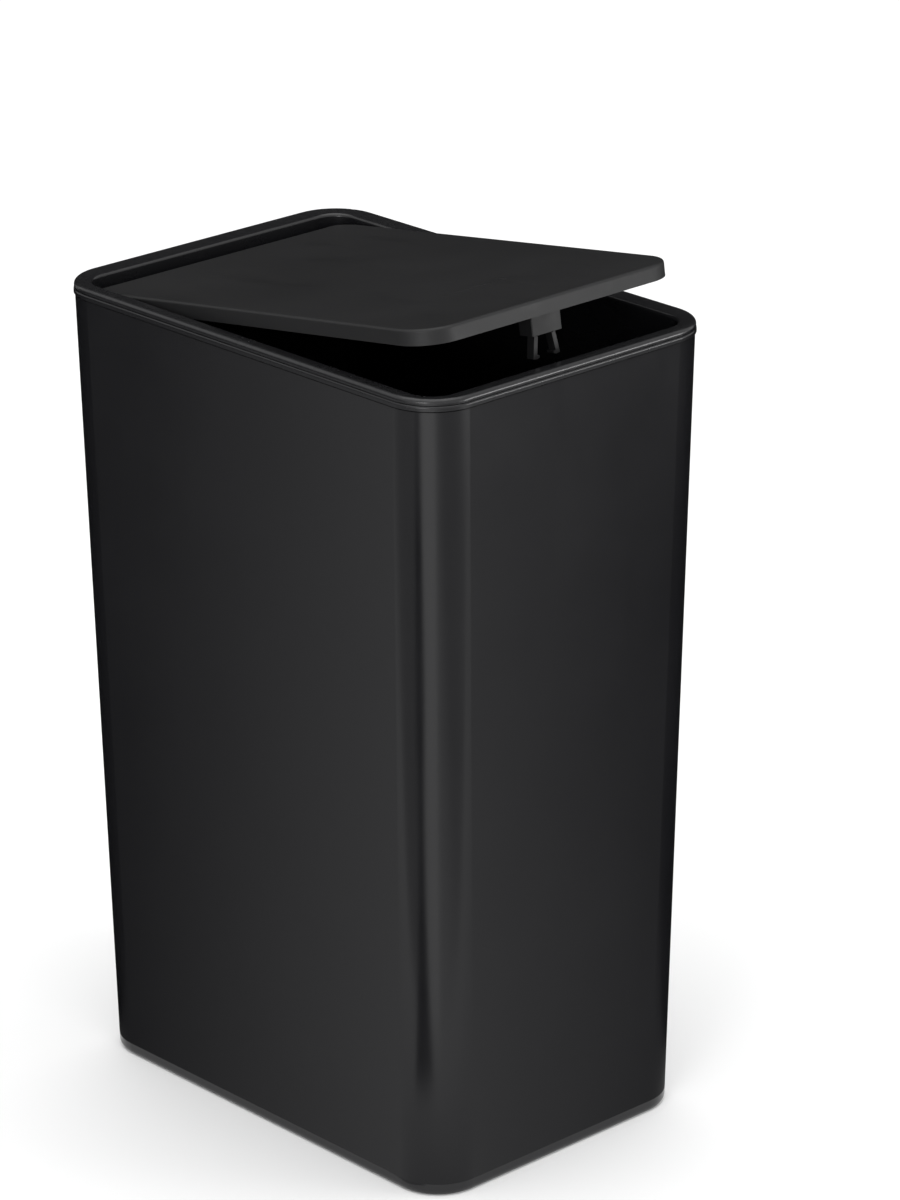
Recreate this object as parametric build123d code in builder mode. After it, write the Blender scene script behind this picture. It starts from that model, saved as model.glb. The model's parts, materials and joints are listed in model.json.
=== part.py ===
from build123d import *
from math import ceil, cos, pi, radians, sin, sqrt
import os

# Push top countertop bin, in millimetres.
# Origin: centre of the base on the surface it stands on. +Z up, front at -Y, hinge at +Y.
# The lid is modelled where it stands ajar, so its pieces are drawn on planes that lie in the lid.

os.makedirs("parts", exist_ok=True)

# ---------------------------------------------------------------- driving dimensions
# whole bin
bin_height = 320.0  # surface to the ridge of the frame
frame_width = 146.0
frame_depth = 211.0
corner_radius = 20.0  # outer plan corner of the frame and of the tub's rim
base_corner_radius = 19.0

# tub
side_taper = 6.1  # how far each side leans in, from rim to base
tub_wall = 2.2
tub_floor = 2.5
foot_ring_width = 7.0
foot_ring_height = 1.5
base_edge_round = 2.5
tongue_inset = 1.2  # rebate round the outside of the rim
tongue_height = 2.6

# top frame
rim_width = 8.0
opening_corner_radius = 9.5
lip_height = 4.5  # from the frame's lower edge to its ridge
lip_overhang = 0.5  # the frame stands this far proud of the tub
seam_gap = 0.5  # shadow line between frame and tub
tongue_clearance = 0.2
bead_height = 2.0  # rounded bead at the frame's lower edge
bead_round = 0.8
groove_height = 0.5  # shadow line above the bead
groove_depth = 0.7
rim_step = 0.2  # the rim stands back from the bead
outer_edge_round = 1.6
inner_edge_drop = 1.0  # the rim's top slopes down to the opening
inner_edge_round = 1.1
skirt_wall = 2.0
skirt_depth = 34.0  # from the ridge to the skirt's lower edge
locating_clearance = 0.3
locating_depth = 3.5
locating_lead = 1.0

# lid
lid_recess = 4.0  # closed lid below the frame's ridge
lid_gap = 1.0  # at the sides and the front
lid_rear_gap = 1.0
lid_thickness = 6.0
lid_skin = 2.0
lid_skirt = 2.0
lid_corner_radius = 14.5
lid_edge_round = 1.2
lid_rest_angle = 8.3  # how far it stands ajar
lid_push_angle = 0.2  # how far it gives past closed
rib_wall = 1.4
rib_height = 3.0
rib_pin_gap = 0.45  # from a long rib to the end of the hinge pin
cross_rib_spacing = 38.0
cross_rib_count = 4
cross_rib_start = 30.0  # from the hinge to the first cross rib

# stop ledges under the lid's front corners
ledge_width = 10.8
ledge_length = 8.5
ledge_thickness = 3.0
ledge_clearance = 0.3

# hinge
knuckle_bite = 0.2  # how far the knuckles sink into the lid's skin
knuckle_gusset = 8.0
pin_chamfer = 0.3
hinge_inset = 26.0  # from the side of the opening to the middle of a bracket lug
lug_width = 5.0
lug_radius = 3.4
knuckle_width = 5.0
hinge_play = 0.3
pin_radius = 1.5
pin_running_fit = 0.05
pin_overhang = 0.8
bracket_plate = 1.8
bracket_plate_width = 18.0
bracket_plate_height = 12.0
bracket_web = 2.5
neck_rear = 0.2  # how far the lug's neck reaches behind the axis
sweep_clearance = 1.5  # between the turning rear edge and the bracket
bracket_screw_spacing = 10.0
shelf_length = 12.0
shelf_thickness = 2.4

# torsion springs
spring_wire = 0.9
spring_radius = 2.75  # to the middle of the wire
spring_pitch = 1.5
spring_turns = 4
spring_leg = 11.0
spring_clearance = 0.35
shelf_clearance = 0.1

# latch box
latch_setback = 6.2  # behind the lid's front edge
latch_width = 14.8
latch_depth = 6.8
latch_drop = 8.7  # below the lid's lower edge
latch_wall = 1.2
latch_edge_round = 0.5
ear_thickness = 1.5
ear_reach = 8.0
ear_screw_spacing = 23.0
latch_ear_corner = 1.0
latch_screw_grip = 5.0
boss_radius = 2.6

# plunger and claws
plunger_side_clearance = 0.2
plunger_face_clearance = 0.1
plunger_height = 6.4
plunger_show = 0.3  # how far it stands out of the box
latched_travel = 4.8
claw_spacing = 8.0  # between the two pivots
claw_pivot_height = 1.6
claw_pin_radius = 0.5
claw_pin_fit = 0.04
claw_barrel_radius = 1.1
claw_barrel_depth = 2.3
claw_thickness = 1.8
claw_depth = 3.6
claw_length = 10.3
claw_shoulder = 1.95  # from the pivot to where the claw widens
claw_swing = 10.0
hook_reach = 1.2
hook_height = 1.5
hook_slope = 0.6
claw_slot_clearance = 0.15

# latch spring and cam wire
latch_spring_wire = 0.4
latch_spring_radius = 0.85
latch_spring_turns = 7
spring_pocket_radius = 1.25
spring_pocket_depth = 5.0
cam_wire = 0.5
cam_channel_width = 0.9
cam_channel_depth = 0.7
cam_bend = 0.4
cam_tip_height = 0.4  # below the top of the plunger
cam_groove_depth = 0.5
cam_groove_width = 2.4
cam_island = 0.7
cam_wire_fit = 0.05
cam_top_drop = 1.0  # from the roof of the box to the wire's upper bend
spring_seat_gap = 0.05

# striker
striker_plate_width = 18.0
striker_plate_height = 12.0
striker_plate = 1.8
striker_arm_width = 7.0
striker_arm_thickness = 2.0
striker_neck_width = 3.0
striker_head_width = 5.6
striker_head_height = 1.2
striker_depth = 4.0
striker_head_gap = 0.3  # between the head and the hooks that hold it
striker_screw_spacing = 11.0
striker_foot_gap = 1.8  # between the lowest the hooks come and the arm
striker_corner = 1.0
striker_head_chamfer = 0.6

# screws
screw_radius = 1.0
screw_head_radius = 1.9
screw_head_height = 1.2
screw_hole_clearance = 0.1
screw_slot_width = 0.5
screw_slot_depth = 0.5
screw_slot_length = 2.4
screw_tip = 0.5
wall_boss_height = 1.8

# ---------------------------------------------------------------- places that follow
lip_bottom = bin_height - lip_height
shoulder_height = lip_bottom - seam_gap
tongue_top = shoulder_height + tongue_height
rim_half_width = frame_width / 2 - lip_overhang
rim_half_depth = frame_depth / 2 - lip_overhang
floor_top = foot_ring_height + tub_floor

opening_half_width = frame_width / 2 - rim_width
opening_half_depth = frame_depth / 2 - rim_width
skirt_bottom = bin_height - skirt_depth

hinge_y = opening_half_depth - lid_rear_gap - lid_thickness
hinge_z = bin_height - lid_recess - lid_thickness
lid_half_width = opening_half_width - lid_gap
lid_reach = hinge_y + opening_half_depth - lid_gap  # hinge to the front edge
lid_inside = lid_thickness - lid_skin  # height of the hollow under the lid

lug_start = opening_half_width - hinge_inset - lug_width / 2
lug_end = lug_start + lug_width
outer_knuckle_start = lug_end + hinge_play
coil_end = lug_start - spring_clearance - spring_wire / 2
coil_start = coil_end - (spring_turns + 0.5) * spring_pitch
inner_knuckle_start = coil_start - spring_wire / 2 - spring_clearance - knuckle_width
pin_start = inner_knuckle_start - pin_overhang
pin_end = outer_knuckle_start + knuckle_width + pin_overhang
web_top = -(lid_thickness + sweep_clearance)  # bracket web, below the hinge axis
web_bottom = web_top - bracket_web
plate_bottom = web_top - bracket_plate_height
bracket_screw_drop = (web_bottom + plate_bottom) / 2
shelf_top = -(spring_radius + spring_wire / 2 + shelf_clearance)
rear_wall = opening_half_depth - hinge_y  # rear wall of the opening, from the hinge axis

latch_y = -lid_reach + latch_setback + latch_depth / 2  # middle of the box, in the lid
cavity_half_width = latch_width / 2 - latch_wall
cavity_half_depth = latch_depth / 2 - latch_wall
cavity_roof = lid_inside - latch_wall
boss_bottom = lid_inside - rib_height
ear_half_width = latch_width / 2 + ear_reach
plunger_bottom = -latch_drop - plunger_show
plunger_top = plunger_bottom + plunger_height
plunger_half_width = cavity_half_width - plunger_side_clearance
plunger_half_depth = cavity_half_depth - plunger_face_clearance
pivot_z = plunger_bottom + claw_pivot_height
slot_half_depth = claw_barrel_depth / 2 + claw_slot_clearance
slot_start = claw_spacing / 2 - claw_barrel_radius - claw_slot_clearance
slot_top = pivot_z + claw_barrel_radius + 2 * claw_slot_clearance
pocket_bottom = plunger_top - spring_pocket_depth
cam_tip_z = plunger_top - cam_tip_height
cam_wire_y = cavity_half_depth + cam_channel_depth / 2
cam_tip_y = plunger_half_depth - cam_groove_depth + plunger_face_clearance
cam_top = cavity_roof - cam_top_drop
hook_top = pivot_z - claw_length + hook_height
hook_low_edge = hook_slope - claw_length
knuckle_radius = lid_inside + knuckle_bite
shelf_start = coil_start - spring_wire / 2
long_rib_spacing = 2 * (pin_start - rib_pin_gap - rib_wall / 2)
rib_front = latch_y + latch_depth
rib_rear = -knuckle_gusset
wall_screw_length = bracket_plate + skirt_wall + wall_boss_height - screw_tip

striker_y = hinge_y + latch_y  # under the box of the closed lid
head_bottom = hinge_z + hook_top + latched_travel + striker_head_gap
hook_low = hinge_z + pivot_z - claw_length - lid_reach * radians(lid_push_angle)
arm_top = hook_low - striker_foot_gap
arm_bottom = arm_top - striker_arm_thickness
striker_plate_top = arm_bottom + striker_plate_height
striker_screw_z = (arm_top + striker_plate_top) / 2
bracket_screw_z = hinge_z + bracket_screw_drop
bracket_middle = (lug_end + coil_start) / 2
ledge_top = hinge_z - lid_reach * radians(lid_push_angle) - ledge_clearance

sides = (("left", -1), ("right", 1))

# ---------------------------------------------------------------- planes
tilt = radians(lid_rest_angle)
hinge_axis = Vector(0, hinge_y, hinge_z)
lid_plane = Plane(origin=hinge_axis, x_dir=(1, 0, 0), z_dir=(0, sin(tilt), cos(tilt)))
lid_side = Plane(origin=hinge_axis, x_dir=lid_plane.y_dir, z_dir=(1, 0, 0))
hinge_side = Plane(origin=hinge_axis, x_dir=(0, 1, 0), z_dir=(1, 0, 0))
latch_origin = lid_plane.from_local_coords((0, latch_y, 0))
latch_plane = Plane(origin=latch_origin, x_dir=(1, 0, 0), z_dir=lid_plane.z_dir)
latch_front = Plane(origin=latch_origin, x_dir=(1, 0, 0), z_dir=-lid_plane.y_dir)
latch_side = Plane(origin=latch_origin, x_dir=lid_plane.y_dir, z_dir=(1, 0, 0))
front_wall = Plane(origin=(0, -opening_half_depth, 0), x_dir=(-1, 0, 0), z_dir=(0, 1, 0))
rear_wall_plane = Plane(origin=(0, opening_half_depth, 0), x_dir=(1, 0, 0), z_dir=(0, -1, 0))


def save(part, name):
    part.label = name
    export_step(part, f"parts/{name}.step")


def biarc(start, start_dir, end, end_dir):
    """Two arcs from start to end that keep the direction at both ends."""
    chord = end - start
    pull = chord.dot(start_dir + end_dir)
    spread = 2 * (1 - start_dir.dot(end_dir))
    reach = (sqrt(pull**2 + spread * chord.dot(chord)) - pull) / spread
    first_knee = start + start_dir * reach
    second_knee = end - end_dir * reach
    middle = (first_knee + second_knee) / 2
    TangentArc(start, middle, tangent=start_dir)
    TangentArc(middle, end, tangent=second_knee - first_knee)


def coil(origin, along, first, second, radius, pitch, angle):
    """Biarcs of up to a quarter turn each, with flat ends; gives the points where they meet."""
    slope = pitch / (2 * pi * radius)
    steps = ceil(angle / (pi / 2))

    def point(turn):
        return origin + (first * cos(turn) + second * sin(turn)) * radius + along * (pitch * turn / (2 * pi))

    def heading(step):
        turn = angle * step / steps
        climb = slope if 0 < step < steps else 0
        return (second * cos(turn) - first * sin(turn) + along * climb).normalized()

    points = [point(angle * step / steps) for step in range(steps + 1)]
    for step in range(steps):
        biarc(points[step], heading(step), points[step + 1], heading(step + 1))
    return points


def print_least_gap(name, wire, thickness):
    """Print the least gap between a wire's turns, between points over 4 thicknesses apart along it."""
    count = 400
    points = [wire.position_at(k / count) for k in range(count + 1)]
    next_turn = ceil(4 * thickness / (wire.length / count))
    gap = min(
        (points[i] - points[j]).length
        for i in range(count + 1)
        for j in range(i + next_turn, count + 1)
    )
    print(name, "least gap between turns", round(gap - thickness, 2), "mm")


def screw(plane, length):
    """A cross-slotted screw: its head seats on the plane and its shank follows the normal."""
    with Locations(plane):
        Cylinder(screw_radius, length, align=(Align.CENTER, Align.CENTER, Align.MIN))
        Cylinder(screw_head_radius, screw_head_height, align=(Align.CENTER, Align.CENTER, Align.MAX))
    with Locations(plane.offset(screw_slot_depth - screw_head_height)):
        for across, along in ((screw_slot_length, screw_slot_width), (screw_slot_width, screw_slot_length)):
            Box(
                across,
                along,
                screw_slot_depth,
                align=(Align.CENTER, Align.CENTER, Align.MAX),
                mode=Mode.SUBTRACT,
            )


# ---------------------------------------------------------------- tub
with BuildPart() as bin_body:
    with BuildSketch(Plane.XY):
        RectangleRounded(
            2 * (rim_half_width - side_taper), 2 * (rim_half_depth - side_taper), base_corner_radius
        )
    with BuildSketch(Plane.XY.offset(shoulder_height)):
        RectangleRounded(2 * rim_half_width, 2 * rim_half_depth, corner_radius - lip_overhang)
    loft(ruled=True)
    fillet(bin_body.edges().group_by(Axis.Z)[0], base_edge_round)
    with BuildSketch(Plane.XY.offset(floor_top)):
        inset = side_taper * (1 - floor_top / shoulder_height) + tub_wall
        RectangleRounded(
            2 * (rim_half_width - inset), 2 * (rim_half_depth - inset), base_corner_radius - tub_wall
        )
    with BuildSketch(Plane.XY.offset(shoulder_height)):
        RectangleRounded(
            2 * (rim_half_width - tub_wall),
            2 * (rim_half_depth - tub_wall),
            corner_radius - lip_overhang - tub_wall,
        )
    loft(ruled=True, mode=Mode.SUBTRACT)
    with BuildSketch(Plane.XY.offset(shoulder_height)):
        RectangleRounded(
            2 * (rim_half_width - tongue_inset),
            2 * (rim_half_depth - tongue_inset),
            corner_radius - lip_overhang - tongue_inset,
        )
        RectangleRounded(
            2 * (rim_half_width - tub_wall),
            2 * (rim_half_depth - tub_wall),
            corner_radius - lip_overhang - tub_wall,
            mode=Mode.SUBTRACT,
        )
    extrude(amount=tongue_height)
    with BuildSketch(Plane.XY):
        foot_inset = side_taper + foot_ring_width
        RectangleRounded(
            2 * (rim_half_width - foot_inset),
            2 * (rim_half_depth - foot_inset),
            base_corner_radius - foot_ring_width,
        )
    extrude(amount=foot_ring_height, mode=Mode.SUBTRACT)
save(bin_body.part, "bin_body")

# ---------------------------------------------------------------- top frame
half_width, half_depth = frame_width / 2, frame_depth / 2
with BuildPart() as top_frame:
    with BuildLine() as rim_path:
        for end in (1, -1):
            FilletPolyline(
                (end * half_width, 0),
                (end * half_width, end * half_depth),
                (-end * half_width, end * half_depth),
                (-end * half_width, 0),
                radius=corner_radius,
            )
    with BuildSketch(Plane(origin=(half_width, 0, 0), x_dir=(-1, 0, 0), z_dir=(0, 1, 0))):
        with BuildLine():
            tongue_outer = lip_overhang + tongue_inset - tongue_clearance
            locating_face = lip_overhang + tub_wall + locating_clearance
            bead_top = lip_bottom + bead_height
            groove_top = bead_top + groove_height
            ridge_inset = rim_step + outer_edge_round
            top_slope = inner_edge_drop / (rim_width - ridge_inset)
            cut_depth = rim_width + skirt_wall  # cut back to the opening below
            Polyline(
                (rim_step, bin_height - outer_edge_round),
                (rim_step, groove_top),
                (groove_depth, groove_top),
                (groove_depth, bead_top),
                (bead_round, bead_top),
            )
            CenterArc((bead_round, bead_top - bead_round), bead_round, 90, 90)
            Polyline(
                (0, bead_top - bead_round),
                (0, lip_bottom),
                (tongue_outer, lip_bottom),
                (tongue_outer, tongue_top),
                (locating_face, tongue_top),
                (locating_face, lip_bottom - locating_depth + locating_lead),
                (locating_face + locating_lead, lip_bottom - locating_depth),
                (cut_depth, lip_bottom - locating_depth),
                (cut_depth, bin_height - top_slope * (cut_depth - ridge_inset)),
                (ridge_inset, bin_height),
            )
            CenterArc((ridge_inset, bin_height - outer_edge_round), outer_edge_round, 90, 90)
        make_face()
    sweep(path=rim_path.line)
    with BuildSketch(Plane.XY.offset(skirt_bottom)):
        RectangleRounded(
            2 * (opening_half_width + skirt_wall),
            2 * (opening_half_depth + skirt_wall),
            opening_corner_radius + skirt_wall,
        )
    extrude(amount=lip_bottom - skirt_bottom)
    with BuildSketch(Plane.XY.offset(skirt_bottom)):
        RectangleRounded(2 * opening_half_width, 2 * opening_half_depth, opening_corner_radius)
    extrude(amount=skirt_depth, mode=Mode.SUBTRACT)
    inner_top = bin_height - inner_edge_drop
    near_top = inner_edge_drop / 3
    inner_edges = top_frame.edges().filter_by_position(Axis.Z, inner_top - near_top, inner_top + near_top)
    fillet(inner_edges, inner_edge_round)

    # stop ledges in the front corners
    with BuildSketch(Plane.XY.offset(ledge_top - ledge_thickness)):
        for _, side in sides:
            ledge_x = opening_half_width - (ledge_width - skirt_wall) / 2
            ledge_y = opening_half_depth - (ledge_length - skirt_wall) / 2
            with Locations((side * ledge_x, -ledge_y)):
                Rectangle(ledge_width + skirt_wall, ledge_length + skirt_wall)
        RectangleRounded(
            2 * opening_half_width + skirt_wall,
            2 * opening_half_depth + skirt_wall,
            opening_corner_radius + skirt_wall / 2,
            mode=Mode.INTERSECT,
        )
    extrude(amount=ledge_thickness)

    # bosses behind the walls, and the holes for the striker's and the brackets' screws
    with BuildSketch(front_wall.offset(-skirt_wall)):
        with Locations((0, striker_screw_z)):
            with GridLocations(striker_screw_spacing, 0, 2, 1):
                Circle(boss_radius)
    extrude(amount=-wall_boss_height)
    with BuildSketch(front_wall):
        with Locations((0, striker_screw_z)):
            with GridLocations(striker_screw_spacing, 0, 2, 1):
                Circle(screw_radius)
    extrude(amount=-(skirt_wall + wall_boss_height), mode=Mode.SUBTRACT)
    for _, side in sides:
        with BuildSketch(rear_wall_plane.offset(-skirt_wall)):
            with Locations((side * bracket_middle, bracket_screw_z)):
                with GridLocations(bracket_screw_spacing, 0, 2, 1):
                    Circle(boss_radius)
        extrude(amount=-wall_boss_height)
        with BuildSketch(rear_wall_plane):
            with Locations((side * bracket_middle, bracket_screw_z)):
                with GridLocations(bracket_screw_spacing, 0, 2, 1):
                    Circle(screw_radius)
        extrude(amount=-(skirt_wall + wall_boss_height), mode=Mode.SUBTRACT)
save(top_frame.part, "top_frame")

# ---------------------------------------------------------------- lid
with BuildPart() as lid_panel:
    with BuildSketch(lid_plane):
        with Locations((0, (lid_thickness - lid_reach) / 2)):
            RectangleRounded(2 * lid_half_width, lid_reach + lid_thickness, lid_corner_radius)
    extrude(amount=lid_thickness)
    top_face = lid_panel.faces().sort_by(Axis(hinge_axis, lid_plane.z_dir))[-1]
    fillet(top_face.edges(), lid_edge_round)
    # the rear edge is round about the hinge axis
    with BuildSketch(lid_side.offset(-lid_half_width)):
        with Locations((-lid_reach / 2, lid_thickness / 2)):
            Rectangle(lid_reach, lid_thickness)
        Circle(lid_thickness)
    extrude(amount=2 * lid_half_width, mode=Mode.INTERSECT)
    # hollow underneath
    with BuildSketch(lid_plane):
        with Locations((0, (lid_skirt - lid_reach) / 2)):
            RectangleRounded(
                2 * (lid_half_width - lid_skirt),
                lid_reach - lid_skirt,
                lid_corner_radius - lid_skirt,
            )
    extrude(amount=lid_inside, mode=Mode.SUBTRACT)
    hollow_half_width = lid_half_width - lid_corner_radius
    with BuildSketch(lid_side.offset(-hollow_half_width)):
        Circle(lid_inside)
    extrude(amount=2 * hollow_half_width, mode=Mode.SUBTRACT)
    # ribs
    with BuildSketch(lid_plane.offset(boss_bottom)):
        with Locations((0, (rib_front + rib_rear) / 2)):
            with GridLocations(long_rib_spacing, 0, 2, 1):
                Rectangle(rib_wall, rib_rear - rib_front)
        for number in range(cross_rib_count):
            with Locations((0, -cross_rib_start - number * cross_rib_spacing)):
                Rectangle(2 * (lid_half_width - lid_skirt / 2), rib_wall)
    extrude(amount=rib_height)
    # bosses for the latch's screws
    with BuildSketch(latch_plane.offset(boss_bottom)):
        with GridLocations(ear_screw_spacing, 0, 2, 1):
            Circle(boss_radius)
    extrude(amount=rib_height)
    with BuildSketch(latch_plane.offset(boss_bottom)):
        with GridLocations(ear_screw_spacing, 0, 2, 1):
            Circle(screw_radius)
    extrude(amount=latch_screw_grip - ear_thickness + screw_tip, mode=Mode.SUBTRACT)
    # knuckles on the hinge pins
    for _, side in sides:
        for start in (inner_knuckle_start, outer_knuckle_start):
            with BuildSketch(lid_side.offset(side * start)):
                Circle(knuckle_radius)
                with BuildLine():
                    Polyline(
                        (0, knuckle_radius),
                        (-knuckle_gusset, knuckle_radius),
                        (-knuckle_radius * cos(pi / 4), -knuckle_radius * sin(pi / 4)),
                        (0, 0),
                        close=True,
                    )
                make_face()
                Circle(pin_radius + pin_running_fit, mode=Mode.SUBTRACT)
            extrude(amount=side * knuckle_width)
save(lid_panel.part, "lid_panel")

# ---------------------------------------------------------------- hinge
for name, side in sides:
    with BuildPart() as bracket:
        with BuildSketch(hinge_side.offset(side * shelf_start)):
            with Locations(((rear_wall - lug_radius) / 2, (web_top + web_bottom) / 2)):
                Rectangle(rear_wall + lug_radius, bracket_web)
            with Locations(((neck_rear - lug_radius) / 2, (web_top + shelf_top) / 2)):
                Rectangle(neck_rear + lug_radius, shelf_top - web_top)
            with Locations(((neck_rear - shelf_length) / 2, shelf_top - shelf_thickness / 2)):
                Rectangle(neck_rear + shelf_length, shelf_thickness)
        extrude(amount=side * (lug_end - shelf_start))
        with BuildSketch(hinge_side.offset(side * lug_start)):
            Circle(lug_radius)
            with Locations(((neck_rear - lug_radius) / 2, shelf_top / 2)):
                Rectangle(neck_rear + lug_radius, -shelf_top)
            Circle(pin_radius, mode=Mode.SUBTRACT)
        extrude(amount=side * lug_width)
        with BuildSketch(rear_wall_plane):
            with Locations((side * bracket_middle, hinge_z + (web_top + plate_bottom) / 2)):
                Rectangle(bracket_plate_width, bracket_plate_height)
        extrude(amount=bracket_plate)
        with BuildSketch(rear_wall_plane):
            with Locations((side * bracket_middle, bracket_screw_z)):
                with GridLocations(bracket_screw_spacing, 0, 2, 1):
                    Circle(screw_radius + screw_hole_clearance)
        extrude(amount=bracket_plate, mode=Mode.SUBTRACT)
    save(bracket.part, f"hinge_bracket_{name}")

    with BuildPart() as pin:
        with BuildSketch(hinge_side.offset(side * pin_start)):
            Circle(pin_radius)
        extrude(amount=side * (pin_end - pin_start))
        chamfer(pin.edges().filter_by(GeomType.CIRCLE), pin_chamfer)
    save(pin.part, f"hinge_pin_{name}")

    with BuildPart() as spring:
        along = Vector(side, 0, 0)
        with BuildLine() as spring_path:
            turns = coil(
                hinge_axis + along * coil_start,
                along,
                lid_plane.z_dir,
                lid_plane.y_dir,
                spring_radius,
                spring_pitch,
                2 * pi * spring_turns + pi - tilt,
            )
            Line(turns[0] - lid_plane.y_dir * spring_leg, turns[0])
            Line(turns[-1], turns[-1] - Vector(0, spring_leg, 0))
        leg_end = turns[0] - lid_plane.y_dir * spring_leg
        with BuildSketch(Plane(origin=leg_end, x_dir=(1, 0, 0), z_dir=lid_plane.y_dir)):
            Circle(spring_wire / 2)
        sweep(path=spring_path.wire())
    print_least_gap(f"hinge_spring_{name}", spring_path.wire(), spring_wire)
    save(spring.part, f"hinge_spring_{name}")

with BuildPart() as hinge_bracket_screws:
    for _, side in sides:
        for offset in (-bracket_screw_spacing / 2, bracket_screw_spacing / 2):
            seat = (side * bracket_middle + offset, opening_half_depth - bracket_plate, bracket_screw_z)
            screw(Plane(origin=seat, x_dir=(1, 0, 0), z_dir=(0, 1, 0)), wall_screw_length)
save(hinge_bracket_screws.part, "hinge_bracket_screws")

# ---------------------------------------------------------------- latch box
with BuildPart() as latch_housing:
    box_depth = latch_depth - latch_wall
    with BuildSketch(latch_plane.offset(-latch_drop)):
        with Locations((0, -latch_wall / 2)):
            Rectangle(latch_width, box_depth)
    extrude(amount=latch_drop + lid_inside)
    front_edges = latch_housing.edges().filter_by(Axis((0, 0, 0), lid_plane.z_dir))
    fillet(front_edges.group_by(Axis(hinge_axis, lid_plane.y_dir))[0], latch_edge_round)
    with BuildSketch(latch_plane.offset(boss_bottom - ear_thickness)):
        with Locations((0, -latch_wall / 2)):
            RectangleRounded(2 * ear_half_width, box_depth, latch_ear_corner)
        with GridLocations(ear_screw_spacing, 0, 2, 1):
            Circle(screw_radius + screw_hole_clearance, mode=Mode.SUBTRACT)
    extrude(amount=ear_thickness)
    with BuildSketch(latch_plane.offset(-latch_drop)):
        with Locations((0, 0)):
            Rectangle(2 * cavity_half_width, 2 * cavity_half_depth)
    extrude(amount=latch_drop + cavity_roof, mode=Mode.SUBTRACT)
save(latch_housing.part, "latch_housing")

with BuildPart() as latch_cover:
    with BuildSketch(latch_plane.offset(-latch_drop)):
        with Locations((0, cavity_half_depth + latch_wall / 2)):
            Rectangle(latch_width, latch_wall)
    extrude(amount=latch_drop + lid_inside)
    with BuildSketch(latch_plane.offset(cam_tip_z - cam_wire)):
        with Locations((0, cam_wire_y)):
            Rectangle(cam_channel_width, cam_channel_depth)
    extrude(amount=cam_top - cam_tip_z + 2 * cam_wire, mode=Mode.SUBTRACT)
    with BuildSketch(latch_front.offset(-latch_depth / 2)):
        with Locations((0, cam_top)):
            Circle(cam_wire / 2 + cam_wire_fit)
    extrude(amount=latch_wall, mode=Mode.SUBTRACT)
save(latch_cover.part, "latch_cover")

with BuildPart() as latch_cam_wire:
    with BuildLine(latch_side) as cam_path:
        FilletPolyline(
            (latch_depth / 2, cam_top),
            (cam_wire_y, cam_top),
            (cam_wire_y, cam_tip_z),
            (cam_tip_y, cam_tip_z),
            radius=cam_bend,
        )
    with BuildSketch(latch_front.offset(-latch_depth / 2)):
        with Locations((0, cam_top)):
            Circle(cam_wire / 2)
    sweep(path=cam_path.wire())
save(latch_cam_wire.part, "latch_cam_wire")

with BuildPart() as latch_screws:
    for offset in (-ear_screw_spacing / 2, ear_screw_spacing / 2):
        seat = latch_plane.from_local_coords((offset, 0, boss_bottom - ear_thickness))
        screw(Plane(origin=seat, x_dir=(1, 0, 0), z_dir=lid_plane.z_dir), latch_screw_grip)
save(latch_screws.part, "latch_screws")

# ---------------------------------------------------------------- plunger, claws and latch spring
with BuildPart() as latch_plunger:
    with BuildSketch(latch_plane.offset(plunger_bottom)):
        Rectangle(2 * plunger_half_width, 2 * plunger_half_depth)
    extrude(amount=plunger_height)
    # pocket for the spring
    with BuildSketch(latch_plane.offset(plunger_top)):
        Circle(spring_pocket_radius)
    extrude(amount=-spring_pocket_depth, mode=Mode.SUBTRACT)
    # a slot and a pivot hole for each claw
    with BuildSketch(latch_plane.offset(plunger_bottom)):
        for _, side in sides:
            with Locations((side * (slot_start + plunger_half_width) / 2, 0)):
                Rectangle(plunger_half_width - slot_start, 2 * slot_half_depth)
    extrude(amount=slot_top - plunger_bottom, mode=Mode.SUBTRACT)
    with BuildSketch(latch_front.offset(-plunger_half_depth)):
        with Locations((0, pivot_z)):
            with GridLocations(claw_spacing, 0, 2, 1):
                Circle(claw_pin_radius)
    extrude(amount=2 * plunger_half_depth, mode=Mode.SUBTRACT)
    # the cam track that the wire's tip runs in, with its island beside the straight run
    with BuildSketch(latch_front.offset(-plunger_half_depth)):
        with Locations((-cam_island, plunger_bottom + plunger_height / 2)):
            Rectangle(cam_groove_width, plunger_height)
        with Locations((-2 * cam_island, plunger_bottom + plunger_height / 2)):
            RegularPolygon(cam_island, 3, mode=Mode.SUBTRACT)
    extrude(amount=cam_groove_depth, mode=Mode.SUBTRACT)
save(latch_plunger.part, "latch_plunger")

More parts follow.
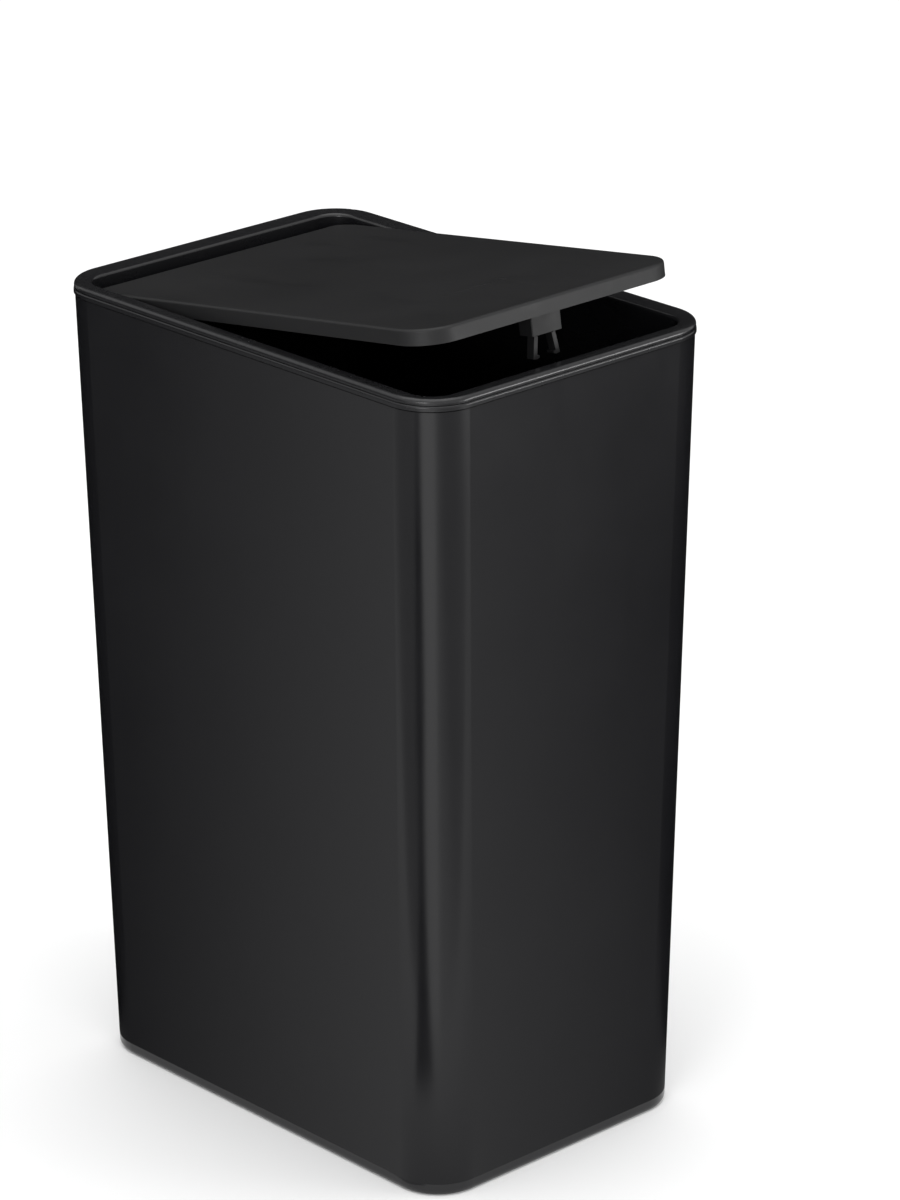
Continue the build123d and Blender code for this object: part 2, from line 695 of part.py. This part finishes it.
splay = radians(claw_swing)
for name, side in sides:
    outward = lid_plane.x_dir * (side * cos(splay)) + lid_plane.z_dir * sin(splay)
    pivot = latch_plane.from_local_coords((side * claw_spacing / 2, 0, pivot_z))
    claw_plane = Plane(origin=pivot, x_dir=outward, z_dir=-lid_plane.y_dir * side)
    with BuildPart() as claw:
        with BuildSketch(claw_plane):
            Circle(claw_barrel_radius)
            with Locations((0, -claw_shoulder / 2)):
                Rectangle(claw_thickness, claw_shoulder)
        extrude(amount=claw_barrel_depth / 2, both=True)
        with BuildSketch(claw_plane):
            with BuildLine():
                Polyline(
                    (claw_thickness / 2, -claw_shoulder),
                    (claw_thickness / 2, -claw_length),
                    (-claw_thickness / 2, -claw_length),
                    (-claw_thickness / 2 - hook_reach, hook_low_edge),
                    (-claw_thickness / 2 - hook_reach, -claw_length + hook_height),
                    (-claw_thickness / 2, -claw_length + hook_height),
                    (-claw_thickness / 2, -claw_shoulder),
                    close=True,
                )
            make_face()
        extrude(amount=claw_depth / 2, both=True)
        with BuildSketch(claw_plane):
            Circle(claw_pin_radius + claw_pin_fit)
        extrude(amount=claw_barrel_depth, both=True, mode=Mode.SUBTRACT)
    save(claw.part, f"latch_claw_{name}")

with BuildPart() as latch_claw_pins:
    with BuildSketch(latch_front.offset(-plunger_half_depth)):
        with Locations((0, pivot_z)):
            with GridLocations(claw_spacing, 0, 2, 1):
                Circle(claw_pin_radius)
    extrude(amount=2 * plunger_half_depth)
save(latch_claw_pins.part, "latch_claw_pins")

with BuildPart() as latch_spring:
    seat_height = pocket_bottom + latch_spring_wire / 2 + spring_seat_gap
    coil_height = cavity_roof - latch_spring_wire / 2 - spring_seat_gap - seat_height
    with BuildLine() as latch_spring_path:
        turns = coil(
            latch_plane.from_local_coords((0, 0, seat_height)),
            lid_plane.z_dir,
            lid_plane.x_dir,
            lid_plane.y_dir,
            latch_spring_radius,
            coil_height / latch_spring_turns,
            2 * pi * latch_spring_turns,
        )
    with BuildSketch(Plane(origin=turns[0], x_dir=lid_plane.x_dir, z_dir=lid_plane.y_dir)):
        Circle(latch_spring_wire / 2)
    sweep(path=latch_spring_path.wire())
print_least_gap("latch_spring", latch_spring_path.wire(), latch_spring_wire)
save(latch_spring.part, "latch_spring")

# ---------------------------------------------------------------- striker
with BuildPart() as latch_striker:
    plate_face = striker_y + opening_half_depth - striker_plate  # from the plate to the head's middle
    with BuildSketch(front_wall):
        with Locations((0, striker_plate_top - striker_plate_height / 2)):
            RectangleRounded(striker_plate_width, striker_plate_height, striker_corner)
        with Locations((0, striker_screw_z)):
            with GridLocations(striker_screw_spacing, 0, 2, 1):
                Circle(screw_radius + screw_hole_clearance, mode=Mode.SUBTRACT)
    extrude(amount=striker_plate)
    with BuildSketch(Plane.XY.offset(arm_bottom)):
        with Locations((0, striker_y - (plate_face - striker_depth / 2) / 2)):
            Rectangle(striker_arm_width, plate_face + striker_depth / 2)
    extrude(amount=striker_arm_thickness)
    with BuildSketch(Plane.XY.offset(arm_top)):
        with Locations((0, striker_y)):
            Rectangle(striker_neck_width, striker_depth)
    extrude(amount=head_bottom - arm_top)
    with BuildSketch(Plane.XY.offset(head_bottom)):
        with Locations((0, striker_y)):
            Rectangle(striker_head_width, striker_depth)
    extrude(amount=striker_head_height)
    head_edges = latch_striker.faces().filter_by(Axis.Z).group_by(Axis.Z)[-1].edges()
    chamfer(head_edges.filter_by(Axis.Y), striker_head_chamfer)
save(latch_striker.part, "latch_striker")

with BuildPart() as striker_screws:
    for offset in (-striker_screw_spacing / 2, striker_screw_spacing / 2):
        seat = (offset, striker_plate - opening_half_depth, striker_screw_z)
        screw(Plane(origin=seat, x_dir=(1, 0, 0), z_dir=(0, -1, 0)), wall_screw_length)
save(striker_screws.part, "striker_screws")
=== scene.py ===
import json
from math import atan2, pi, radians

import bpy
from mathutils import Matrix, Vector


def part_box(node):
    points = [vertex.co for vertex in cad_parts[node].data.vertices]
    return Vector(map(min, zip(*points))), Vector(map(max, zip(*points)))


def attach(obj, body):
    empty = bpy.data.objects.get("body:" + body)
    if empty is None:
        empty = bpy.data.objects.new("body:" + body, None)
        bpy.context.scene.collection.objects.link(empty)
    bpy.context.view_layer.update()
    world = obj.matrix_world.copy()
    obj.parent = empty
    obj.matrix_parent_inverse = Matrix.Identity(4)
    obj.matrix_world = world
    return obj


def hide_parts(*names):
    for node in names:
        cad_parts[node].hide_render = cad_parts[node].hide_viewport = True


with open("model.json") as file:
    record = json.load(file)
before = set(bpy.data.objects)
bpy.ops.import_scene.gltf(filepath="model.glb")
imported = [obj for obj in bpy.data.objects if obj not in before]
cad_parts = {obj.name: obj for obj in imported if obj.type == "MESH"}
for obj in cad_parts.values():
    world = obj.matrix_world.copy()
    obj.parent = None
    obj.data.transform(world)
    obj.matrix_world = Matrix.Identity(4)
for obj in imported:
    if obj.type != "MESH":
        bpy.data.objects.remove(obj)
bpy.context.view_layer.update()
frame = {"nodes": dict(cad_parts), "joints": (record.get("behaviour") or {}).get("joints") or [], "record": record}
print("frame loaded:", len(frame["nodes"]), "nodes")

mm = 0.001

# the lid stands ajar, so what is fixed to it is placed along its own slope
hinge = next(joint for joint in frame["joints"] if joint["name"] == "lid_hinge")
plungerSlide = next(joint for joint in frame["joints"] if joint["name"] == "plunger_slide")
hingePoint = Vector(hinge["pos_m"])
lidUp = Vector(plungerSlide["axis"]).normalized()  # straight out of the lid's top
lidTilt = atan2(lidUp.y, lidUp.z)
lidMatrix = Matrix.Translation(hingePoint) @ Matrix.Rotation(-lidTilt, 4, "X")


def linearColor(hexCode):
    channels = [int(hexCode[i:i + 2], 16) / 255 for i in (1, 3, 5)]
    return tuple(c / 12.92 if c <= 0.04045 else ((c + 0.055) / 1.055) ** 2.4 for c in channels) + (1.0,)


def addNode(tree, kind, settings=None, links=None):
    node = tree.nodes.new(kind)
    for name, value in (settings or {}).items():
        if isinstance(name, int) or name in node.inputs:
            node.inputs[name].default_value = value
        else:
            setattr(node, name, value)
    for name, socket in (links or {}).items():
        tree.links.new(socket, node.inputs[name])
    return node


# the scale that gives a noise texture features of this size
def noiseScale(sizeMm):
    return 1000 / sizeMm


def startMaterial(name):
    material = bpy.data.materials.new(name)
    material.use_nodes = True
    material.node_tree.nodes.clear()
    return material, material.node_tree


def deselectAll():
    if bpy.context.object and bpy.context.object.mode != "OBJECT":
        bpy.ops.object.mode_set(mode="OBJECT")
    bpy.ops.object.select_all(action="DESELECT")


def setActive(piece):
    deselectAll()
    piece.select_set(True)
    bpy.context.view_layer.objects.active = piece


# goes into edit mode with only the faces that pass the test selected
def editFaces(piece, test):
    bpy.ops.object.mode_set(mode="EDIT")
    bpy.ops.mesh.select_mode(type="FACE")
    bpy.ops.mesh.select_all(action="DESELECT")
    bpy.ops.object.mode_set(mode="OBJECT")
    for face in piece.data.polygons:
        face.select = test(face)
    bpy.ops.object.mode_set(mode="EDIT")


def applyModifier(piece, kind, **settings):
    setActive(piece)
    modifier = piece.modifiers.new("temp", kind)
    for name, value in settings.items():
        setattr(modifier, name, value)
    bpy.ops.object.modifier_apply(modifier=modifier.name)


# puts a piece's place into its mesh, and makes it move with a body
def finishPiece(piece, matrix, body, slotName, sharpAngle=35):
    piece.data.transform(matrix @ piece.matrix_world)
    piece.matrix_world = Matrix.Identity(4)
    piece.data.materials.clear()
    piece.data.materials.append(finishes[slotName])
    setActive(piece)
    bpy.ops.object.shade_smooth_by_angle(angle=radians(sharpAngle))
    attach(piece, body)


# Injection-moulded polypropylene: a spark-eroded grain, a gloss that is a little cloudy where
# the melt cooled unevenly, and soft wiping marks. "rub" pales a worn edge and changes its gloss.
def mouldedPlastic(settings):
    wipeFrom, wipeFull = 0.55, 0.72  # only the noise's peaks show as wiping marks
    cloudLow, cloudHigh = 0.3, 0.7  # nearly all of the noise lies between these
    material, tree = startMaterial(settings["name"])
    place = addNode(tree, "ShaderNodeTexCoord").outputs["Object"]
    grain = addNode(tree, "ShaderNodeTexNoise",
                    {"Scale": noiseScale(settings["grainMm"]), "Detail": 2.0, "Roughness": 0.55}, {"Vector": place})
    clouds = addNode(tree, "ShaderNodeTexNoise",
                     {"Scale": noiseScale(settings["cloudMm"]), "Detail": 4.0, "Roughness": 0.6}, {"Vector": place})
    speckle = addNode(tree, "ShaderNodeTexNoise",
                      {"Scale": noiseScale(settings["speckleMm"]), "Detail": 1.0}, {"Vector": place})
    drawn = addNode(tree, "ShaderNodeMapping", {"Scale": settings["wipeStretch"]}, {"Vector": place})
    wipes = addNode(tree, "ShaderNodeTexNoise",
                    {"Scale": noiseScale(settings["wipeMm"]), "Detail": 3.0, "Roughness": 0.65},
                    {"Vector": drawn.outputs["Vector"]})
    wipeMask = addNode(tree, "ShaderNodeMapRange", {"From Min": wipeFrom, "From Max": wipeFull},
                       {"Value": wipes.outputs["Fac"]})

    # height above the floor decides where the rubbed bands are
    height = addNode(tree, "ShaderNodeSeparateXYZ", None, {"Vector": place})
    band = addNode(tree, "ShaderNodeMapRange",
                   {"From Min": settings["rubFrom"] * mm, "From Max": settings["rubTo"] * mm,
                    "interpolation_type": "SMOOTHSTEP"},
                   {"Value": height.outputs["Z"]})
    rub = addNode(tree, "ShaderNodeMath", {"operation": "MULTIPLY"},
                  {0: band.outputs["Result"], 1: speckle.outputs["Fac"]})

    plain = addNode(tree, "ShaderNodeMix",
                    {"data_type": "RGBA", 6: linearColor(settings["colour"]), 7: linearColor(settings["paleColour"])},
                    {0: clouds.outputs["Fac"]})
    rubbed = addNode(tree, "ShaderNodeMix", {"data_type": "RGBA", 7: linearColor(settings["rubColour"])},
                     {0: rub.outputs["Value"], 6: plain.outputs[2]})
    cloudy = addNode(tree, "ShaderNodeMapRange",
                     {"From Min": cloudLow, "From Max": cloudHigh,
                      "To Min": settings["roughness"][0], "To Max": settings["roughness"][1]},
                     {"Value": clouds.outputs["Fac"]})
    wiped = addNode(tree, "ShaderNodeMath", {"operation": "MULTIPLY_ADD", 1: settings["wipeGloss"]},
                    {0: wipeMask.outputs["Result"], 2: cloudy.outputs["Result"]})
    rough = addNode(tree, "ShaderNodeMath", {"operation": "MULTIPLY_ADD", 1: settings["rubGloss"]},
                    {0: rub.outputs["Value"], 2: wiped.outputs["Value"]})
    bump = addNode(tree, "ShaderNodeBump", {"Distance": settings["grainDepthMm"] * mm},
                   {"Height": grain.outputs["Fac"]})
    shader = addNode(tree, "ShaderNodeBsdfPrincipled", {"IOR": settings["ior"], "Metallic": 0.0},
                     {"Base Color": rubbed.outputs[2], "Roughness": rough.outputs["Value"],
                      "Normal": bump.outputs["Normal"]})
    addNode(tree, "ShaderNodeOutputMaterial", None, {"Surface": shader.outputs["BSDF"]})
    return material


# Steel rod, wire or plated screw: fine lines from drawing through a die, and a slightly uneven grey
def drawnSteel(settings):
    material, tree = startMaterial(settings["name"])
    place = addNode(tree, "ShaderNodeTexCoord").outputs["Object"]
    drawn = addNode(tree, "ShaderNodeMapping", {"Scale": settings["stretch"]}, {"Vector": place})
    lines = addNode(tree, "ShaderNodeTexNoise", {"Scale": noiseScale(settings["lineMm"]), "Detail": 3.0},
                    {"Vector": drawn.outputs["Vector"]})
    patches = addNode(tree, "ShaderNodeTexNoise",
                      {"Scale": noiseScale(settings["patchMm"]), "Detail": 2.0}, {"Vector": place})
    plain, pale = linearColor(settings["colour"]), linearColor(settings["paleColour"])
    colour = addNode(tree, "ShaderNodeMix", {"data_type": "RGBA", 6: plain, 7: pale}, {0: patches.outputs["Fac"]})
    rough = addNode(tree, "ShaderNodeMapRange",
                    {"To Min": settings["roughness"][0], "To Max": settings["roughness"][1]},
                    {"Value": lines.outputs["Fac"]})
    bump = addNode(tree, "ShaderNodeBump", {"Distance": settings["lineDepthMm"] * mm},
                   {"Height": lines.outputs["Fac"]})
    shader = addNode(tree, "ShaderNodeBsdfPrincipled", {"Metallic": 1.0},
                     {"Base Color": colour.outputs[2], "Roughness": rough.outputs["Result"],
                      "Normal": bump.outputs["Normal"]})
    addNode(tree, "ShaderNodeOutputMaterial", None, {"Surface": shader.outputs["BSDF"]})
    return material


tubFinish = {
    "name": "PolypropyleneSatinMoulded",  # satin mould: a soft sheen with fairly crisp stripes at the corners
    "colour": "#111113", "paleColour": "#151517",
    "roughness": (0.20, 0.25), "ior": 1.45,
    "grainMm": 0.9, "grainDepthMm": 0.006,  # the real grain is about 0.1 mm, drawn coarser so that it shows
    "cloudMm": 60, "speckleMm": 2.2,
    "wipeMm": 10, "wipeStretch": (1.0, 1.0, 0.12), "wipeGloss": -0.025,  # wiped up and down
    "rubFrom": 2.5, "rubTo": 0.2, "rubColour": "#222223", "rubGloss": 0.10,  # the foot, slid on worktops
}
frameFinish = dict(
    tubFinish, name="PolypropyleneSatinMouldedRim", roughness=(0.25, 0.31), cloudMm=40,
    wipeStretch=(0.3, 0.3, 1.0), rubFrom=317, rubTo=320, rubColour="#232324", rubGloss=-0.05,  # the rim, handled
)
lidFinish = {
    "name": "PolypropyleneFineMatt",  # a finer, drier grain: hardly any sheen, even at a low angle
    "colour": "#111112", "paleColour": "#151516",
    "roughness": (0.50, 0.57), "ior": 1.42,
    "grainMm": 0.8, "grainDepthMm": 0.010,  # drawn coarser than the real 0.08 mm
    "cloudMm": 75, "speckleMm": 2.0,
    "wipeMm": 12, "wipeStretch": (1.0, 0.15, 1.0), "wipeGloss": -0.05,  # wiped front to back
    "rubFrom": 345, "rubTo": 352, "rubColour": "#222223", "rubGloss": -0.06,  # the front, pushed to shut it
}
bracketFinish = dict(tubFinish, name="PolypropyleneMouldedBlock", grainMm=0.5, cloudMm=18, wipeMm=5)
latchFinishPaintedShade = dict(
    tubFinish, name="AcetalMouldedPaintedShade",  # the slippery moving parts: drier than the body, and darker than it as painted shade from the lid above them
    # this darker black is painted shade: it stands in for the shadow that the lid casts on the latch
    colour="#0e0e0f", paleColour="#131314", roughness=(0.50, 0.58), ior=1.40,
    grainMm=0.5, grainDepthMm=0.004, cloudMm=10, wipeMm=3,
)
pinFinish = {
    "name": "StainlessSteelDrawn",  # bright, with fine lines along the rod
    "colour": "#b9b9b7", "paleColour": "#c9c8c5", "roughness": (0.20, 0.34),
    "stretch": (0.1, 1.0, 1.0), "lineMm": 0.3, "lineDepthMm": 0.004, "patchMm": 4,
}
springFinish = dict(
    pinFinish, name="SpringSteelDrawnOiled",  # darker than the pins, with an oily gleam
    colour="#7f8084", paleColour="#97979a", stretch=(1.0, 1.0, 1.0), lineMm=0.5,
)
screwFinish = dict(
    pinFinish, name="SteelBlackZincPlated",  # a soft dark gleam on an uneven grey
    colour="#3a3b3f", paleColour="#4a4a50", roughness=(0.28, 0.42), stretch=(1.0, 1.0, 1.0), lineMm=0.6,
)

finishes = {
    "tub_plastic": mouldedPlastic(tubFinish),
    "frame_plastic": mouldedPlastic(frameFinish),
    "lid_plastic": mouldedPlastic(lidFinish),
    "bracket_plastic": mouldedPlastic(bracketFinish),
    "latch_plastic": mouldedPlastic(latchFinishPaintedShade),
    "pin_steel": drawnSteel(pinFinish),
    "spring_steel": drawnSteel(springFinish),
    "screw_steel": drawnSteel(screwFinish),
}
for part in frame["record"]["subparts"]:
    for materialSlot in frame["nodes"][part["node"]].material_slots:
        materialSlot.material = finishes[part["material_slot"]]
print("materials made:", len(finishes))

# pan-head screws with a cross recess, one model for all eight
screwSettings = {
    "headRadius": 1.9, "headHeight": 1.2, "headRound": 0.55, "headSides": 40,
    "shankRadius": 1.0, "shankLength": 5.1, "threadPitch": 0.45, "threadDepth": 0.2,
    "tipLength": 0.6, "tipTaper": 0.3,
    "recessLength": 2.3, "recessWidth": 0.5, "recessDepth": 0.6, "recessTaper": 0.55,
    "bracketSpacing": 10.0,  # between the two screws of one bracket
    "latchSeat": (11.5, -177.4, -0.5), "latchShankLength": 5.0,  # the seat is on the lid's own axes
}


# made standing on the origin: the head's seat at z 0, the head below it and the shank above
def modelScrew(s):
    squarely = 0.9  # how straight along the axis a face has to look to be taken
    deselectAll()
    bpy.ops.mesh.primitive_cylinder_add(vertices=s["headSides"], radius=s["headRadius"] * mm,
                                        depth=s["headHeight"] * mm,
                                        location=(0, 0, -s["headHeight"] / 2 * mm))
    screw = bpy.context.object
    bpy.ops.object.transform_apply(location=True, rotation=True, scale=True)
    editFaces(screw, lambda face: face.normal.z < -squarely)
    bpy.ops.mesh.bevel(offset=s["headRound"] * mm, segments=5, affect="EDGES")
    editFaces(screw, lambda face: face.normal.z > squarely)
    bpy.ops.mesh.inset(thickness=(s["headRadius"] - s["shankRadius"]) * mm)
    turns = int((s["shankLength"] - s["tipLength"]) / s["threadPitch"])
    step = (s["shankLength"] - s["tipLength"]) / turns / 2 * mm
    valley = (s["shankRadius"] - s["threadDepth"]) / s["shankRadius"]
    for turn in range(turns):  # each turn narrows to its valley and widens to its crest
        for width in (valley, 1 / valley):
            bpy.ops.mesh.extrude_region_move(TRANSFORM_OT_translate={"value": (0, 0, step)})
            bpy.ops.transform.resize(value=(width, width, 1))
    bpy.ops.mesh.extrude_region_move(TRANSFORM_OT_translate={"value": (0, 0, s["tipLength"] * mm)})
    bpy.ops.transform.resize(value=(s["tipTaper"], s["tipTaper"], 1))
    bpy.ops.object.mode_set(mode="OBJECT")

    # the cross recess is cut with two crossed bars that taper inwards
    for turn in (0, pi / 2):
        deselectAll()
        bpy.ops.mesh.primitive_cube_add(
            size=1, location=(0, 0, -s["headHeight"] * mm), rotation=(0, 0, turn),
            scale=(s["recessLength"] * mm, s["recessWidth"] * mm, s["recessDepth"] * 2 * mm))
        cutter = bpy.context.object
        bpy.ops.object.transform_apply(location=False, rotation=False, scale=True)
        editFaces(cutter, lambda face: face.normal.z > squarely)
        bpy.ops.transform.resize(value=(s["recessTaper"], s["recessTaper"], 1))
        bpy.ops.object.mode_set(mode="OBJECT")
        applyModifier(screw, "BOOLEAN", operation="DIFFERENCE", object=cutter, solver="EXACT")
        bpy.data.objects.remove(cutter)
    return screw


# the wall screws' places come from the boxes of the nodes that they stand for
def placeScrews(s):
    radius, head, spacing = s["headRadius"] * mm, s["headHeight"] * mm, s["bracketSpacing"] * mm
    places = []
    low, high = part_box("hinge_bracket_screws")
    left, right = low.x + radius, high.x - radius
    along = Matrix.Rotation(-pi / 2, 4, "X")  # the shank points to the rear wall
    for number, x in enumerate((left, left + spacing, right - spacing, right), 1):
        seat = Vector((x, low.y + head, (low.z + high.z) / 2))
        places.append((f"bracketScrew{number}", "hinge_bracket_screws", "frame",
                       Matrix.Translation(seat) @ along, 1.0))
    low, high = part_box("striker_screws")
    along = Matrix.Rotation(pi / 2, 4, "X")  # the shank points to the front wall
    for number, x in enumerate((low.x + radius, high.x - radius), 1):
        seat = Vector((x, high.y - head, (low.z + high.z) / 2))
        places.append((f"strikerScrew{number}", "striker_screws", "frame",
                       Matrix.Translation(seat) @ along, 1.0))
    for number, side in enumerate((-1, 1), 1):
        seat = Vector(s["latchSeat"]) * mm
        seat.x *= side
        places.append((f"latchScrew{number}", "latch_screws", "lid",
                       lidMatrix @ Matrix.Translation(seat), s["latchShankLength"] / s["shankLength"]))

    model = modelScrew(s)
    for name, node, body, matrix, stretch in places:
        screw = model.copy()
        screw.data = model.data.copy()
        screw.name = name
        bpy.context.collection.objects.link(screw)
        finishPiece(screw, matrix @ Matrix.Diagonal((1, 1, stretch, 1)), body, "screw_steel")
        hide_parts(node)
    bpy.data.objects.remove(model)
    print("screws placed:", len(places))


placeScrews(screwSettings)

# plain mark moulded on the lid near its front edge: a thin bar between two dots
markSettings = {
    "middle": (-1.7, -146.1), "top": 6.0, "raised": 0.12, "sunk": 0.3,  # on the lid's own axes
    "barLength": 22.0, "barWidth": 1.6, "dotRadius": 1.3, "dotGap": 3.2,
    "edge": 0.05, "sides": 32,
}


def modelMark(s):
    height = s["raised"] + s["sunk"]
    base = Vector((s["middle"][0], s["middle"][1], s["top"] - s["sunk"] + height / 2)) * mm
    deselectAll()
    bpy.ops.mesh.primitive_cube_add(size=1, location=base,
                                    scale=((s["barLength"] - s["barWidth"]) * mm, s["barWidth"] * mm, height * mm))
    mark = bpy.context.object
    bpy.ops.object.transform_apply(location=True, rotation=True, scale=True)
    mark.name = "lidMark"
    for side in (-1, 1):  # round ends, then a dot beyond each
        for offset, radius in ((s["barLength"] / 2 - s["barWidth"] / 2, s["barWidth"] / 2),
                               (s["barLength"] / 2 + s["dotGap"], s["dotRadius"])):
            deselectAll()
            bpy.ops.mesh.primitive_cylinder_add(vertices=s["sides"], radius=radius * mm, depth=height * mm,
                                                location=base + Vector((side * offset * mm, 0, 0)))
            end = bpy.context.object
            bpy.ops.object.transform_apply(location=True, rotation=True, scale=True)
            applyModifier(mark, "BOOLEAN", operation="UNION", object=end, solver="EXACT")
            bpy.data.objects.remove(end)
    applyModifier(mark, "BEVEL", width=s["edge"] * mm, segments=2, limit_method="ANGLE")
    finishPiece(mark, lidMatrix, "lid", "lid_plastic")


modelMark(markSettings)
print("mark made")

studio = {
    "floorSize": 14.0, "floorColour": "#fbfbfb",
    "ambient": 0.86,
    "lamps": {
        "topBox": {"place": (-0.25, -0.2, 2.6), "aim": (-0.25, -0.2, 0), "size": (3.0, 3.0), "power": 34},
        "lowFrontBox": {"place": (0.78, -1.03, 0.27), "aim": (0, -0.1, 0.33), "size": (0.55, 0.2), "power": 4.2},
        "leftBox": {"place": (-1.5, -0.8, 0.55), "aim": (0, 0, 0.3), "size": (0.5, 0.5), "power": 6},
    },
    # Glowing sheets that only reflections see: painted reflections that give the plastic its light and dark
    # bands. A sheet fades along its own Y from the near to the far shade over the width "fade", or is all of the near
    # shade.
    "paintedReflectionSheets": {
        "leftCloth": {"middle": (-0.716, 0.222, 0.003), "turn": (0, 0, 8), "size": (1.2, 0.8), "near": "#a8a8a8"},
        "frontCloth": {"middle": (-0.116, -0.817, 0.003), "turn": (0, 0, -128), "size": (1.2, 0.8),
                       "near": "#f0f0f0", "far": "#acacac", "fade": 0.20},
        "floorCloth": {"middle": (0.885, 0.779, 0.005), "turn": (0, 0, -48.6), "size": (4.0, 2.8),
                       "near": "#f4f4f4", "far": "#0c0c0c", "fade": 0.245},
        "cornerStripNear": {"middle": (-0.278, -0.148, 0.007), "turn": (0, 0, 13.9), "size": (0.30, 0.07),
                            "near": "#080808"},
        "cornerStripFar": {"middle": (-0.763, -0.268, 0.007), "turn": (0, 0, 13.9), "size": (0.70, 0.16),
                           "near": "#080808"},
        "leftFlag": {"middle": (-1.25, 1.05, 0.35), "turn": (90, 0, 50), "size": (2.2, 0.7), "near": "#1c1c1c"},
        "rearFlag": {"middle": (1.3, 1.4, 1.4), "turn": (90, 0, -43), "size": (4.4, 2.8), "near": "#1c1c1c"},
    },
}


def layFloor():
    deselectAll()
    bpy.ops.mesh.primitive_plane_add(size=studio["floorSize"], location=(0, 0, 0))
    floor = bpy.context.object
    floor.name = "studioFloor"
    material, tree = startMaterial("PaperWhite")
    shader = addNode(tree, "ShaderNodeBsdfDiffuse", {"Color": linearColor(studio["floorColour"])})
    addNode(tree, "ShaderNodeOutputMaterial", None, {"Surface": shader.outputs["BSDF"]})
    floor.data.materials.append(material)


# pure white to the camera and in reflections, a little less as a light
def lightWorld():
    world = bpy.data.worlds.new("studioWorld")
    bpy.context.scene.world = world
    world.use_nodes = True
    tree = world.node_tree
    tree.nodes.clear()
    rays = addNode(tree, "ShaderNodeLightPath")
    mirrored = addNode(tree, "ShaderNodeMath", {"operation": "ADD"},
                       {0: rays.outputs["Is Camera Ray"], 1: rays.outputs["Is Glossy Ray"]})
    seen = addNode(tree, "ShaderNodeMath", {"operation": "ADD", "use_clamp": True},
                   {0: mirrored.outputs["Value"], 1: rays.outputs["Is Transmission Ray"]})
    ambient = addNode(tree, "ShaderNodeBackground", {"Color": (1, 1, 1, 1), "Strength": studio["ambient"]})
    white = addNode(tree, "ShaderNodeBackground", {"Color": (1, 1, 1, 1), "Strength": 1.0})
    mixed = addNode(tree, "ShaderNodeMixShader", None,
                    {0: seen.outputs["Value"], 1: ambient.outputs["Background"], 2: white.outputs["Background"]})
    addNode(tree, "ShaderNodeOutputWorld", None, {"Surface": mixed.outputs["Shader"]})


# makes one glowing sheet that only glossy rays see: a painted reflection in the plastic's gloss, not a lamp
def hangReflectionSheet(name, cloth):
    deselectAll()
    bpy.ops.mesh.primitive_plane_add(size=1, location=cloth["middle"],
                                     rotation=[radians(angle) for angle in cloth["turn"]])
    sheet = bpy.context.object
    sheet.name = name
    sheet.scale = (cloth["size"][0], cloth["size"][1], 1)
    material, tree = startMaterial("PaintedReflection_" + name)
    place = addNode(tree, "ShaderNodeTexCoord")
    edge = addNode(tree, "ShaderNodeSeparateXYZ", None, {"Vector": place.outputs["Object"]})
    nearEdge = -0.5  # the sheet is one unit wide before it is scaled
    fade = addNode(tree, "ShaderNodeMapRange",
                   {"From Min": nearEdge + cloth.get("fade", 1.0) / cloth["size"][1], "From Max": nearEdge},
                   {"Value": edge.outputs["Y"]})
    near, far = linearColor(cloth["near"]), linearColor(cloth.get("far", cloth["near"]))
    shade = addNode(tree, "ShaderNodeMix", {"data_type": "RGBA", 6: far, 7: near}, {0: fade.outputs["Result"]})
    # the glow is the painted reflection: its shade shows only in the gloss of the plastic
    glow = addNode(tree, "ShaderNodeEmission", {"Strength": 1.0}, {"Color": shade.outputs[2]})
    addNode(tree, "ShaderNodeOutputMaterial", None, {"Surface": glow.outputs["Emission"]})
    sheet.data.materials.append(material)
    sheet.visible_camera = sheet.visible_diffuse = sheet.visible_shadow = sheet.visible_transmission = False


def placeLamp(name, lamp):
    bpy.ops.object.light_add(type="AREA", location=lamp["place"])
    box = bpy.context.object
    box.name = name
    box.data.shape = "RECTANGLE"
    box.data.size, box.data.size_y = lamp["size"]
    box.data.energy = lamp["power"]
    aim = Vector(lamp["aim"]) - Vector(lamp["place"])
    box.rotation_euler = aim.to_track_quat("-Z", "Y").to_euler()
    box.visible_camera = False


layFloor()
lightWorld()
for name, cloth in studio["paintedReflectionSheets"].items():
    hangReflectionSheet(name, cloth)
for name, lamp in studio["lamps"].items():
    placeLamp(name, lamp)
print("studio built")

cameraSettings = {
    "place": (-1.239043, -1.369100, 0.909277),
    "turn": (68.9500, 0.2978, -43.0417),  # degrees
    "lens": 154.964,
}
bpy.ops.object.camera_add(location=cameraSettings["place"],
                          rotation=[radians(angle) for angle in cameraSettings["turn"]])
camera = bpy.context.object
camera.data.lens = cameraSettings["lens"]
camera.data.sensor_width = 36.0
camera.data.sensor_fit = "AUTO"
camera.data.clip_end = 100
bpy.context.scene.camera = camera
bpy.context.scene.view_settings.view_transform = "Standard"
print("camera placed")
